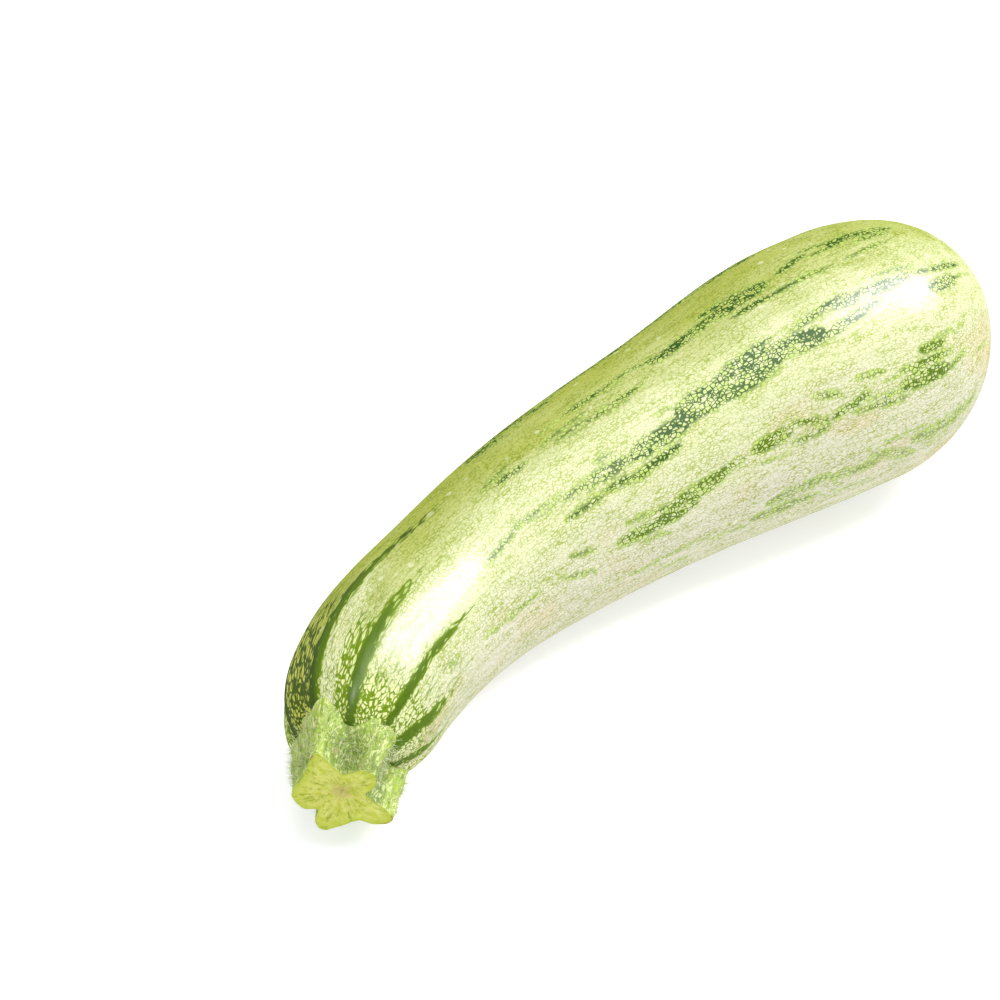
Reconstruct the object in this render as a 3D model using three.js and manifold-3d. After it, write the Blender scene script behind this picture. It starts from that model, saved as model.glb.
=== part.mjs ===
// A mottled light-green zucchini lying on its side: the bent fruit with its blossom end,
// and the cut stump of its five-ridged stem.
// Millimetres, +Z up. +X runs from the stem to the blossom end and the fruit bows towards +Y.
// The origin is under the middle of the whole part, on the surface that it rests on.

import * as THREE from 'three';
import { mergeVertices } from 'three/addons/utils/BufferGeometryUtils.js';
import Module from 'manifold-3d';

// --- Driving dimensions -----------------------------------------------------------------

// Stations are distances along the fruit's bent axis, from its stem end.
const FRUIT_LENGTH = 199.4;

// The axis lies flat. Its heading swings quickly in the neck and settles in the belly.
const BLOSSOM_HEADING = -14.3; // degrees from +X
const NECK_SWING = 51.6; // degrees that the neck turns away from that heading
const NECK_SHARPNESS = 3.54; // how closely the swing is held to the neck

// Body radius at stations from the neck to the belly, before the ends close in.
const BODY_RADII = [
  [0, 16.35],
  [26.2, 18.6],
  [52.5, 19.45],
  [84, 22.5],
  [115.4, 25.4],
  [146.9, 29.3],
  [173.2, 30.15],
  [199.4, 33.05],
];
const SHOULDER_LENGTH = 18.3;
const SHOULDER_START = 0.3; // part of the body's radius left where the stem sits
const SHOULDER_ROUNDNESS = 2.47;
const BLOSSOM_LENGTH = 34.4;
const BLOSSOM_ROUNDNESS = 1.83;

// The skin gives a little under the fruit's own weight, which flattens a strip to rest on.
const REST_DENT = 0.35;

// The blossom scar is a shallow dimple with a low rim where the flower dropped off.
const SCAR_RADIUS = 6;
const SCAR_DEPTH = 1.2;

// Outline of the stem, by the angle around its axis as seen from the cut end:
// [degrees, radius at the cut, radius where the stem spreads onto the fruit].
const STEM_SECTION = [
  [0, 5.4, 10.4],
  [18, 7.6, 11.4],
  [38, 9.6, 12.4],
  [56, 8.7, 12.0],
  [84, 5.8, 10.8],
  [103, 8.2, 12.4],
  [114, 12.4, 13.7],
  [137, 10.1, 12.6],
  [166, 9.7, 12.0],
  [192, 11.3, 13.2],
  [214, 10.0, 12.0],
  [226, 7.9, 11.0],
  [238, 11.6, 12.4],
  [250, 12.4, 12.9],
  [268, 10.2, 11.8],
  [293, 9.0, 11.0],
  [309, 11.7, 13.3],
  [325, 13.4, 14.6],
  [336, 10.8, 13.4],
  [344, 7.2, 11.8],
];
const STEM_STUMP = 10.8; // from the fruit's end to the cut
const STEM_FLARE_START = -9; // station where the stem starts to spread
const STEM_FLARE_END = 4.5;
const STEM_ROOT = 9; // station inside the fruit where the stem's solid ends
const STEM_AXIS_HEIGHT = 16.9;
const JOINT_GAP = 0.3; // between the fruit and the stem

// How finely the solids and the axis are divided.
const FRUIT_FACETS = { around: 48, along: 60 };
const STEM_FACETS = { around: 90, along: 14 };
const AXIS_STEPS = 400;

const FULL_TURN = 360;
const ON_AXIS = 1e-6; // a vertex nearer to the axis than this is a pole
const WELD = 1e-4; // vertices nearer to each other than this are one

// --- The bent axis ----------------------------------------------------------------------

const radians = THREE.MathUtils.degToRad;

function headingAt(station) {
  const left = 1 - THREE.MathUtils.clamp(station / FRUIT_LENGTH, 0, 1);
  return radians(BLOSSOM_HEADING + NECK_SWING * left ** NECK_SHARPNESS);
}

const AXIS_STEP = FRUIT_LENGTH / AXIS_STEPS;

function walkAxis() {
  const points = [new THREE.Vector2(0, 0)];
  for (let station = AXIS_STEP / 2; station < FRUIT_LENGTH; station += AXIS_STEP) {
    const heading = headingAt(station);
    const stride = new THREE.Vector2(Math.cos(heading), Math.sin(heading)).multiplyScalar(AXIS_STEP);
    points.push(stride.add(points.at(-1)));
  }
  return points;
}

const AXIS_POINTS = walkAxis();

// The point of the axis at a station, in plan. Before the fruit's end it runs on straight.
function axisAt(station) {
  const reached = THREE.MathUtils.clamp(station, 0, FRUIT_LENGTH);
  const index = Math.min(Math.floor(reached / AXIS_STEP), AXIS_POINTS.length - 2);
  const part = reached / AXIS_STEP - index;
  const point = AXIS_POINTS[index].clone().lerp(AXIS_POINTS[index + 1], part);
  const heading = headingAt(station);
  const beyond = station - reached;
  point.x += beyond * Math.cos(heading);
  point.y += beyond * Math.sin(heading);
  return point;
}

// A point at a radius and an angle around the axis. Seen from the stem end, the angle
// starts at the right and turns anticlockwise.
function aroundAxis(station, height, radius, angle) {
  const centre = axisAt(station);
  const heading = headingAt(station);
  const right = radius * Math.cos(angle);
  return new THREE.Vector3(
    centre.x + right * Math.sin(heading),
    centre.y - right * Math.cos(heading),
    height + radius * Math.sin(angle),
  );
}

// A smooth curve from one value to another, with the slope it leaves and the slope it
// arrives with. The part is how far along the span it has come, from 0 to 1.
function smoothCurve(part, span, from, to, slopeFrom, slopeTo) {
  const rise = part * part * (3 - 2 * part);
  const leave = part * (1 - part) ** 2 * span * slopeFrom;
  const arrive = part * part * (part - 1) * span * slopeTo;
  return from + (to - from) * rise + leave + arrive;
}

// --- Fruit ------------------------------------------------------------------------------

// The body radius at a station: a smooth curve through BODY_RADII.
function bodyRadius(station) {
  const last = BODY_RADII.length - 1;
  const slopeAt = (i) => {
    const [before, radiusBefore] = BODY_RADII[Math.max(i - 1, 0)];
    const [after, radiusAfter] = BODY_RADII[Math.min(i + 1, last)];
    return (radiusAfter - radiusBefore) / (after - before);
  };
  const reached = THREE.MathUtils.clamp(station, 0, FRUIT_LENGTH);
  const found = BODY_RADII.findIndex(([knot]) => knot > reached);
  const i = found < 0 ? last - 1 : found - 1;
  const [from, radiusFrom] = BODY_RADII[i];
  const [to, radiusTo] = BODY_RADII[i + 1];
  const part = (reached - from) / (to - from);
  return smoothCurve(part, to - from, radiusFrom, radiusTo, slopeAt(i), slopeAt(i + 1));
}

// The part of the body radius that the rounded ends leave at a station.
function endRounding(station) {
  const intoShoulder = Math.max(1 - station / SHOULDER_LENGTH, 0);
  const narrowing = (1 - SHOULDER_START) * intoShoulder ** SHOULDER_ROUNDNESS;
  const shoulder = (1 - narrowing) ** (1 / SHOULDER_ROUNDNESS);
  const intoBlossom = Math.max((station - FRUIT_LENGTH + BLOSSOM_LENGTH) / BLOSSOM_LENGTH, 0);
  const blossom = Math.max(1 - intoBlossom ** BLOSSOM_ROUNDNESS, 0) ** (1 / BLOSSOM_ROUNDNESS);
  return shoulder * blossom;
}

// A sphere pulled out along the axis: its poles are the fruit's two ends.
function fruitGeometry() {
  const geometry = new THREE.SphereGeometry(1, FRUIT_FACETS.around, FRUIT_FACETS.along);
  const positions = geometry.attributes.position;
  const vertex = new THREE.Vector3();
  for (let i = 0; i < positions.count; i += 1) {
    vertex.fromBufferAttribute(positions, i);
    const station = (FRUIT_LENGTH * (1 - vertex.y)) / 2;
    const ringRadius = Math.hypot(vertex.x, vertex.z);
    const onPole = ringRadius < ON_AXIS;
    const angle = onPole ? 0 : Math.atan2(vertex.z, -vertex.x);
    const body = bodyRadius(station);
    const radius = onPole ? 0 : body * endRounding(station);
    const dimple = SCAR_DEPTH * Math.exp(-((radius / SCAR_RADIUS) ** 2));
    const inBlossom = station > FRUIT_LENGTH / 2 ? dimple : 0;
    const point = aroundAxis(station - inBlossom, body, radius, angle);
    point.z = Math.max(point.z, REST_DENT) - REST_DENT;
    positions.setXYZ(i, point.x, point.y, point.z);
  }
  return geometry;
}

// --- Stem -------------------------------------------------------------------------------

// The stem's radius at an angle: a smooth closed curve through STEM_SECTION.
function stemRadius(angle, spread) {
  const turn = THREE.MathUtils.euclideanModulo(THREE.MathUtils.radToDeg(angle), FULL_TURN);
  const count = STEM_SECTION.length;
  const found = STEM_SECTION.findIndex(([degrees]) => degrees > turn);
  const i = (found < 0 ? count : found) - 1;
  const radiusAt = (k) => {
    const [, cut, base] = STEM_SECTION[(k + count) % count];
    return THREE.MathUtils.lerp(cut, base, spread);
  };
  const degreesTo = (k) => STEM_SECTION[(k + count) % count][0] + FULL_TURN * Math.floor(k / count);
  const slopeAt = (k) => (radiusAt(k + 1) - radiusAt(k - 1)) / (degreesTo(k + 1) - degreesTo(k - 1));
  const span = degreesTo(i + 1) - degreesTo(i);
  const part = (turn - degreesTo(i)) / span;
  return smoothCurve(part, span, radiusAt(i), radiusAt(i + 1), slopeAt(i), slopeAt(i + 1));
}

// A cylinder with flat ends, laid along the axis and given the stem's section. Its far end
// lies inside the fruit.
function stemGeometry() {
  const length = STEM_STUMP + STEM_ROOT;
  const geometry = new THREE.CylinderGeometry(1, 1, length, STEM_FACETS.around, STEM_FACETS.along);
  const positions = geometry.attributes.position;
  const vertex = new THREE.Vector3();
  for (let i = 0; i < positions.count; i += 1) {
    vertex.fromBufferAttribute(positions, i);
    const station = length / 2 - vertex.y - STEM_STUMP;
    const share = Math.hypot(vertex.x, vertex.z);
    const angle = share < ON_AXIS ? 0 : Math.atan2(vertex.z, -vertex.x);
    const spread = THREE.MathUtils.smoothstep(station, STEM_FLARE_START, STEM_FLARE_END);
    const radius = share * stemRadius(angle, spread);
    const point = aroundAxis(station, STEM_AXIS_HEIGHT - REST_DENT, radius, angle);
    positions.setXYZ(i, point.x, point.y, point.z);
  }
  return geometry;
}

// --- Solids -----------------------------------------------------------------------------

const wasm = await Module();
wasm.setup();

// The same shape with only positions left and every shared vertex merged.
function welded(geometry) {
  const bare = geometry.clone();
  bare.deleteAttribute('normal');
  bare.deleteAttribute('uv');
  return mergeVertices(bare, WELD);
}

// The same shape with its surface moved outwards by a distance.
function grown(geometry, distance) {
  const shell = welded(geometry);
  shell.computeVertexNormals();
  const { position, normal } = shell.attributes;
  for (let i = 0; i < position.count; i += 1) {
    position.setXYZ(
      i,
      position.getX(i) + distance * normal.getX(i),
      position.getY(i) + distance * normal.getY(i),
      position.getZ(i) + distance * normal.getZ(i),
    );
  }
  return shell;
}

function solidOf(geometry) {
  const closed = welded(geometry);
  const vertProperties = Float32Array.from(closed.attributes.position.array);
  const triVerts = Uint32Array.from(closed.index.array);
  return new wasm.Manifold(new wasm.Mesh({ numProp: 3, vertProperties, triVerts }));
}

function geometryOf(solid) {
  const mesh = solid.getMesh();
  const geometry = new THREE.BufferGeometry();
  geometry.setAttribute('position', new THREE.BufferAttribute(Float32Array.from(mesh.vertProperties), 3));
  geometry.setIndex(new THREE.BufferAttribute(Uint32Array.from(mesh.triVerts), 1));
  geometry.computeVertexNormals();
  return geometry;
}

// --- The part ---------------------------------------------------------------------------

const skinMaterial = new THREE.MeshStandardMaterial({ color: 0xcdd99a, roughness: 0.35, metalness: 0 });
const stemMaterial = new THREE.MeshStandardMaterial({ color: 0x9cba5c, roughness: 0.7, metalness: 0 });

function makeFruit() {
  const fruit = new THREE.Mesh(welded(fruitGeometry()), skinMaterial);
  fruit.geometry.computeVertexNormals();
  fruit.name = 'fruit';
  return fruit;
}

// The stem sits on the fruit's shoulder, so the shoulder's shape is cut out of its root.
function makeStem() {
  const shoulder = solidOf(grown(fruitGeometry(), JOINT_GAP));
  const stem = new THREE.Mesh(geometryOf(solidOf(stemGeometry()).subtract(shoulder)), stemMaterial);
  stem.name = 'stem';
  return stem;
}

const zucchini = new THREE.Group();
zucchini.add(makeFruit(), makeStem());

const extent = new THREE.Box3().setFromObject(zucchini, true);
const middle = extent.getCenter(new THREE.Vector3());
zucchini.position.set(-middle.x, -middle.y, -extent.min.z);
zucchini.updateMatrixWorld(true);

export default zucchini;
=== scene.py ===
"""A mottled light-green zucchini on a pale floor: skin, cut stem, stem hairs and blossom scar.

Lengths are in metres. A station is a distance along the fruit's bent axis from its stem end,
and an angle turns anticlockwise round that axis from its right side, seen from the stem end.
"""

import math
import random

import bmesh
import bpy
import numpy as np
from mathutils import Matrix, Vector, noise


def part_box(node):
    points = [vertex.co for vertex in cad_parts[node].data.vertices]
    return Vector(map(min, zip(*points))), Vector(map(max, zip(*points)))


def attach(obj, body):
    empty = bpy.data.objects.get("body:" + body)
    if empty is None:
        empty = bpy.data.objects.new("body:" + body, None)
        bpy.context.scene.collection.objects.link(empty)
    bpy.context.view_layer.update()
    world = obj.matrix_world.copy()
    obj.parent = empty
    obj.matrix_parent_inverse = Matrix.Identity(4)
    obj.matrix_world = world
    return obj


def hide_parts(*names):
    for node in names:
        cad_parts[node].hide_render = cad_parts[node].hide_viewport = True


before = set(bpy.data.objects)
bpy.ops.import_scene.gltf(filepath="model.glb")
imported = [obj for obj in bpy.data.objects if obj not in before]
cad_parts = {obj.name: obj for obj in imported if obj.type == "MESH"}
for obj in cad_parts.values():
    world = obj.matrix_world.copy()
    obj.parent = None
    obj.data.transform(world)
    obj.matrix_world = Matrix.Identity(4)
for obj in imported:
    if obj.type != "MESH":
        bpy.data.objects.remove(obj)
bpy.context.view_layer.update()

MM = 0.001

# --- Shape of the fruit, as the frame has it --------------------------------------------

# These numbers repeat the CAD part's. The ones from FRUIT_LENGTH to BLOSSOM_ROUNDNESS, all but
# SHOULDER_START, were worked out by a least-squares program, and its radii were then rounded.
FRUIT_LENGTH = 199.4 * MM
BLOSSOM_HEADING = math.radians(-14.3)
NECK_SWING = math.radians(51.6)
NECK_SHARPNESS = 3.54
BODY_STATIONS = np.array([0, 26.2, 52.5, 84, 115.4, 146.9, 173.2, 199.4]) * MM
BODY_RADII = np.array([16.35, 18.6, 19.45, 22.5, 25.4, 29.3, 30.15, 33.05]) * MM
SHOULDER_LENGTH = 18.3 * MM
SHOULDER_START = 0.3
SHOULDER_ROUNDNESS = 2.47
BLOSSOM_LENGTH = 34.4 * MM
BLOSSOM_ROUNDNESS = 1.83
REST_DENT = 0.35 * MM
SCAR_RADIUS = 6 * MM
SCAR_DEPTH = 1.2 * MM

AXIS_MARKS = 801
PROFILE_MARKS = 2000
TIP_MARKS = 60
TIP_SHARES = (4e-4, 1e-9)

SKIN_SIDES = 336
SKIN_RINGS = 290


def heading_at(stations):
    """Which way the axis runs in plan: an angle from the x axis, anticlockwise seen from above."""
    left = 1 - np.clip(stations / FRUIT_LENGTH, 0, 1)
    return BLOSSOM_HEADING + NECK_SWING * left**NECK_SHARPNESS


def axis_at(stations):
    """The axis in plan: x and y at each station. Past the fruit's ends it runs on straight."""
    marks = np.linspace(0, FRUIT_LENGTH, AXIS_MARKS)
    stride = marks[1] - marks[0]
    headings = heading_at((marks[1:] + marks[:-1]) / 2)
    walked_x = np.concatenate(([0], np.cumsum(np.cos(headings) * stride)))
    walked_y = np.concatenate(([0], np.cumsum(np.sin(headings) * stride)))
    beyond = np.minimum(stations, 0) + np.maximum(stations - FRUIT_LENGTH, 0)
    x = np.interp(stations, marks, walked_x) + beyond * np.cos(heading_at(stations))
    y = np.interp(stations, marks, walked_y) + beyond * np.sin(heading_at(stations))
    return x, y


def around_axis(stations, heights, radii, angles):
    """Points at these radii and angles round the axis, before the part is moved to its place."""
    x, y = axis_at(stations)
    headings = heading_at(stations)
    right = radii * np.cos(angles)
    return np.stack(
        (
            x + right * np.sin(headings),
            y - right * np.cos(headings),
            heights + radii * np.sin(angles),
        ),
        axis=1,
    )


def smooth_curve(part, span, start, end, slope_start, slope_end):
    """From one value to another, with the slope it leaves and the slope it arrives with."""
    rise = part * part * (3 - 2 * part)
    leave = part * (1 - part) ** 2 * span * slope_start
    arrive = part * part * (part - 1) * span * slope_end
    return start + (end - start) * rise + leave + arrive


def body_radius(stations):
    """A smooth curve through BODY_RADII."""
    slopes = np.empty(len(BODY_RADII))
    slopes[1:-1] = (BODY_RADII[2:] - BODY_RADII[:-2]) / (BODY_STATIONS[2:] - BODY_STATIONS[:-2])
    slopes[0] = (BODY_RADII[1] - BODY_RADII[0]) / (BODY_STATIONS[1] - BODY_STATIONS[0])
    slopes[-1] = (BODY_RADII[-1] - BODY_RADII[-2]) / (BODY_STATIONS[-1] - BODY_STATIONS[-2])
    reached = np.clip(stations, 0, FRUIT_LENGTH)
    i = np.clip(np.searchsorted(BODY_STATIONS, reached, side="right") - 1, 0, len(BODY_RADII) - 2)
    span = BODY_STATIONS[i + 1] - BODY_STATIONS[i]
    part = (reached - BODY_STATIONS[i]) / span
    return smooth_curve(part, span, BODY_RADII[i], BODY_RADII[i + 1], slopes[i], slopes[i + 1])


def end_rounding(stations):
    """The part of the body radius that the rounded ends leave."""
    into_shoulder = np.maximum(1 - stations / SHOULDER_LENGTH, 0)
    shoulder = 1 - (1 - SHOULDER_START) * into_shoulder**SHOULDER_ROUNDNESS
    into_blossom = np.maximum((stations - FRUIT_LENGTH + BLOSSOM_LENGTH) / BLOSSOM_LENGTH, 0)
    blossom = np.maximum(1 - into_blossom**BLOSSOM_ROUNDNESS, 0)
    return shoulder ** (1 / SHOULDER_ROUNDNESS) * blossom ** (1 / BLOSSOM_ROUNDNESS)


def along_meridian(corners, shares):
    """Stations and radii at these shares of the length of a line of (station, radius) corners."""
    steps = np.hypot(*np.diff(corners, axis=0).T)
    walked = np.concatenate(([0], np.cumsum(steps)))
    wanted = shares * walked[-1]
    return np.interp(wanted, walked, corners[:, 0]), np.interp(wanted, walked, corners[:, 1])


def smoothstep(values, low, high):
    """A smooth rise from 0 at the low value to 1 at the high one."""
    t = np.clip((values - low) / (high - low), 0, 1)
    return t * t * (3 - 2 * t)


def turned(angles, centre):
    """How far each angle is from a centre, from -pi to pi."""
    return (angles - centre + math.pi) % (2 * math.pi) - math.pi


def lumps(places, size, seed):
    """Smooth noise from -1 to 1 at these places, with bumps of about this size."""
    shift = Vector((seed * 3.7, seed * 1.3, seed * 2.1))
    return np.array([noise.noise(Vector(p) / size + shift) for p in places])


# --- Making meshes ----------------------------------------------------------------------


def round_mesh(name, sides, rings):
    """A sphere's mesh, with the angle and the share of the way from pole to pole of each vertex."""
    bm = bmesh.new()
    bmesh.ops.create_uvsphere(bm, u_segments=sides, v_segments=rings, radius=1)
    mesh = bpy.data.meshes.new(name)
    bm.to_mesh(mesh)
    bm.free()
    found = np.empty(len(mesh.vertices) * 3, np.float32)
    mesh.vertices.foreach_get("co", found)
    x, y, z = found.reshape(-1, 3).astype(float).T
    return mesh, np.arctan2(y, x), np.arccos(np.clip(z, -1, 1)) / math.pi


def set_places(mesh, places):
    """Moves the vertices to their places and shades the surface smooth."""
    mesh.vertices.foreach_set("co", places.astype(np.float32).ravel())
    mesh.shade_smooth()
    mesh.update()


def give_vectors(mesh, name, values):
    layer = mesh.attributes.new(name, "FLOAT_VECTOR", "POINT")
    layer.data.foreach_set("vector", values.astype(np.float32).ravel())


def give_numbers(mesh, name, values):
    layer = mesh.attributes.new(name, "FLOAT", "POINT")
    layer.data.foreach_set("value", values.astype(np.float32))


def show(mesh, node, slot, *materials):
    """Puts a mesh in the scene as a piece that rides on the part."""
    piece = bpy.data.objects.new(mesh.name, mesh)
    bpy.context.scene.collection.objects.link(piece)
    for material in materials:
        mesh.materials.append(material)
    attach(piece, "root")
    if node:
        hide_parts(node)


def straightened(stations, radii, angles):
    """Where each point would be on the unbent fruit, in millimetres: its pattern grows there."""
    return np.stack((radii * np.cos(angles), radii * np.sin(angles), stations), axis=1) / MM


# --- Skin of the fruit ------------------------------------------------------------------

RIBS = 10
RIB_ANGLE = math.radians(12)
RIB_FADE = (2 * MM, 46 * MM)
RIB_DEPTH = 1.0 * MM
RIB_SHARE = 0.65
LOBE_SHARE = 0.35
LUMP_SIZE = 26 * MM
LUMP_DEPTH = 0.3 * MM
DENT_SIZE = 7 * MM
DENT_DEPTH = 0.07 * MM
EVEN_POLE = 10 * MM
# The angle of the green side. It is greener and darker partly in its own colour and partly as painted
# shade.
GREEN_AND_SHADE_ANGLE = math.radians(138)
# A painted reflection: a pale strip down the neck, where the green side's colour is taken back.
PAINTED_SHINE_ANGLE = math.radians(110)
PAINTED_SHINE_SPREAD = math.radians(9)
PAINTED_SHINE_FADE = (16 * MM, 48 * MM)
PAINTED_SHINE_DEPTH = 0.5


def skin_relief(stations, angles, straight):
    """How deep the skin lies under the frame's smooth shape: ribs in the neck and slight lumps."""
    fade = 1 - smoothstep(stations, *RIB_FADE)
    ribs = (1 - np.cos(RIBS * (angles - RIB_ANGLE))) / 2
    lobes = (1 - np.cos(RIBS / 2 * (angles - RIB_ANGLE))) / 2
    broad = (1 + lumps(straight * MM, LUMP_SIZE, 1)) / 2
    fine = (1 + lumps(straight * MM, DENT_SIZE, 2)) / 2
    ribbed = RIB_DEPTH * fade * (RIB_SHARE * ribs + LOBE_SHARE * lobes)
    return ribbed + LUMP_DEPTH * broad + DENT_DEPTH * fine


# Patches of broken stripe: first and last station in millimetres, angle in degrees at each,
# half width in millimetres and strength. One block of patches for each line along the fruit.
STRIPES = (
    # along the top
    (62, 72, 94.5, 97, 0.5, 1.0),
    (65, 75, 91, 89, 1.2, 0.85),
    (79, 94, 92, 93, 0.6, 0.95),
    (82, 92, 88, 88, 0.9, 0.8),
    (83, 91, 84, 85, 0.6, 0.8),
    (89, 107, 86, 87, 1.0, 0.9),
    (95, 102, 83, 84, 0.6, 0.85),
    (82, 90, 99, 100, 0.4, 0.9),
    (88, 103, 100, 99, 0.9, 1.0),
    (99, 111, 100, 100, 0.6, 1.0),
    (98, 105, 96, 96, 0.8, 0.75),
    (108, 118, 100, 94, 1.0, 0.95),
    (111, 134, 95, 98, 1.6, 1.0),
    (126, 138, 103, 101, 1.0, 1.0),
    (127, 144, 97, 96, 2.1, 1.0),
    (131, 142, 90, 88, 1.0, 1.0),
    (137, 158, 88, 87, 0.8, 1.0),
    (146, 156, 97, 101, 1.2, 0.95),
    (154, 163, 104, 102, 0.8, 1.0),
    (155, 172, 98, 99, 1.0, 0.95),
    (160, 179, 101, 99, 1.6, 1.0),
    (166, 177, 95, 95, 1.1, 0.9),
    (161, 175, 87, 89, 0.7, 0.95),
    # along the middle
    (49, 61, 56, 60, 0.8, 0.9),
    (59, 76, 62, 60, 0.6, 0.95),
    (65, 73, 58, 58, 0.5, 0.8),
    (73, 85, 58, 55, 1.3, 0.75),
    (79, 94, 56, 55, 2.0, 0.8),
    (72, 84, 46, 46, 1.0, 0.9),
    (76, 84, 49, 49, 0.7, 0.8),
    (84, 92, 47, 47, 1.2, 0.9),
    (89, 106, 44, 48, 1.3, 1.0),
    (93, 111, 55, 57, 2.4, 1.0),
    (85, 91, 64, 63, 0.9, 0.75),
    (103, 115, 57, 58, 1.9, 0.95),
    (107, 124, 61, 61, 3.3, 1.0),
    (103, 110, 67, 67, 0.6, 0.8),
    (116, 136, 61, 62, 3.9, 1.0),
    (122, 136, 69, 70, 1.0, 0.95),
    (132, 147, 63, 59, 2.6, 1.0),
    (139, 156, 67, 71, 1.1, 1.0),
    (145, 162, 57, 62, 1.7, 0.9),
    (150, 173, 67, 67, 2.0, 0.9),
    (163, 175, 73, 71, 0.8, 0.85),
    (170, 178, 69, 66, 1.2, 0.85),
    (174, 184, 58, 58, 2.2, 0.9),
    (181, 190, 59, 59, 0.7, 0.8),
    (177, 188, 66, 66, 1.3, 0.9),
    # on the right side
    (22, 29, 26, 26, 0.4, 1.0),
    (38, 60, 20, 19, 0.8, 0.8),
    (69, 78, 27, 22, 0.8, 0.9),
    (65, 76, 19, 9, 1.0, 0.75),
    (85, 93, 26, 24, 0.8, 0.8),
    (91, 101, 22, 22, 0.9, 0.95),
    (82, 105, 17, 16, 1.9, 0.95),
    (88, 98, 10, 8, 0.6, 0.85),
    (97, 114, 20, 24, 2.0, 1.0),
    (107, 119, 25, 26, 1.1, 0.95),
    (120, 131, 27, 28, 1.9, 0.95),
    (121, 129, 20, 18, 0.6, 0.75),
    (130, 140, 31, 24, 1.0, 1.0),
    (129, 140, 21, 21, 0.9, 0.95),
    (133, 140, 24, 23, 0.9, 0.9),
    (137, 144, 37, 32, 1.1, 0.9),
    (140, 151, 24, 27, 1.3, 1.0),
    (145, 161, 22, 18, 0.9, 0.95),
    (149, 161, 24, 21, 0.9, 0.95),
    (148, 156, 35, 33, 0.9, 0.9),
    (154, 166, 29, 30, 0.6, 0.9),
    (159, 175, 30, 29, 1.2, 1.0),
    (158, 173, 24, 23, 2.2, 1.0),
    (165, 173, 35, 34, 1.4, 1.0),
    (171, 181, 38, 36, 0.6, 0.85),
    (171, 179, 21, 25, 0.9, 0.9),
    (180, 188, 19, 20, 0.8, 0.7),
    # low on the right side
    (74, 79, -5, -6, 0.6, 0.62),
    (81, 108, -8, -9, 0.9, 0.6),
    (95, 104, -18, -20, 1.0, 0.6),
    (108, 119, -12, -15, 0.9, 0.66),
    (118, 137, -12, -14, 1.8, 0.7),
    (122, 140, -5, -4, 1.9, 0.72),
    (138, 152, -6, -10, 1.8, 0.7),
    (149, 163, -3, -14, 2.0, 0.68),
    (160, 182, -5, -4, 2.2, 0.68),
    (164, 173, -11, -12, 0.9, 0.6),
    (139, 152, -19, -20, 0.8, 0.6),
    (147, 168, 1, 1, 0.6, 0.7),
)
PATCH_EDGE = 0.9 * MM

# Stripes out of sight. Angles are in degrees and lengths in millimetres.
HIDDEN_SEED = 7
HIDDEN_LINES = (132, 168, 204, 240, 276, 312)
HIDDEN_STRANDS = (-5, 0, 5)
HIDDEN_JITTER = 3
HIDDEN_DRIFT = 4
HIDDEN_START = (58, 92)
HIDDEN_LENGTH = (9, 26)
HIDDEN_GAP = (-5, 14)
HIDDEN_HALF = (0.6, 2.4)
HIDDEN_LAST_START = 176
HIDDEN_END = 188
UNDERSIDE = (215, 325)
UNDERSIDE_STRENGTH = 0.7


def hidden_stripes():
    """Broken stripes of the same kind along the lines of the far side and the underside."""
    chance = random.Random(HIDDEN_SEED)
    found = []
    for line in HIDDEN_LINES:
        strength = UNDERSIDE_STRENGTH if UNDERSIDE[0] < line < UNDERSIDE[1] else 1.0
        for strand in HIDDEN_STRANDS:
            reached = chance.uniform(*HIDDEN_START)
            while reached < HIDDEN_LAST_START:
                last = min(reached + chance.uniform(*HIDDEN_LENGTH), HIDDEN_END)
                start = line + strand + chance.uniform(-HIDDEN_JITTER, HIDDEN_JITTER)
                end = start + chance.uniform(-HIDDEN_DRIFT, HIDDEN_DRIFT)
                half = chance.uniform(*HIDDEN_HALF)
                found.append((reached, last, start, end, half, strength))
                reached = last + chance.uniform(*HIDDEN_GAP)
    return found


def stripe_strength(stations, angles, radii):
    """How strongly the broken stripes show at each point. A patch has its edge at a half."""
    strength = np.zeros(len(stations))
    for first, last, start, end, half, most in (*STRIPES, *hidden_stripes()):
        along = (stations / MM - first) / (last - first)
        line = np.radians(start + (end - start) * np.clip(along, 0, 1))
        narrowing = np.sqrt(np.clip(1 - np.abs(2 * along - 1) ** 3, 0, 1))
        inside = half * MM * narrowing - np.abs(turned(angles, line)) * radii
        beyond = np.maximum(np.abs(along - 0.5) - 0.5, 0) * (last - first) * MM
        patch = most * np.clip(0.5 + (inside - beyond) / PATCH_EDGE / 2, 0, 1)
        strength = np.maximum(strength, patch)
    return strength


# Solid green lines down the neck: angle in degrees at the stem and at the line's end, the
# last station in millimetres, half width at each end in millimetres, and strength.
NECK_LINES = (
    (125, 111, 62, 1.5, 0.8, 1.0),
    (87, 81, 46, 1.5, 0.6, 1.0),
    (47, 41, 46, 1.1, 0.6, 0.95),
    (22, 11, 25, 1.6, 0.6, 0.95),
    (-7, -12, 18, 1.4, 0.5, 0.85),
    (161, 157, 52, 1.3, 0.8, 1.0),
    (198, 196, 44, 1.3, 0.7, 1.0),
    (234, 233, 40, 1.2, 0.7, 0.9),
    (271, 271, 36, 1.1, 0.6, 0.8),
    (307, 308, 32, 1.0, 0.6, 0.75),
)
NECK_LINE_FADE = (0.2, 1.1)
NECK_LINE_EDGE = (0.2, 1.9)

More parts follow.
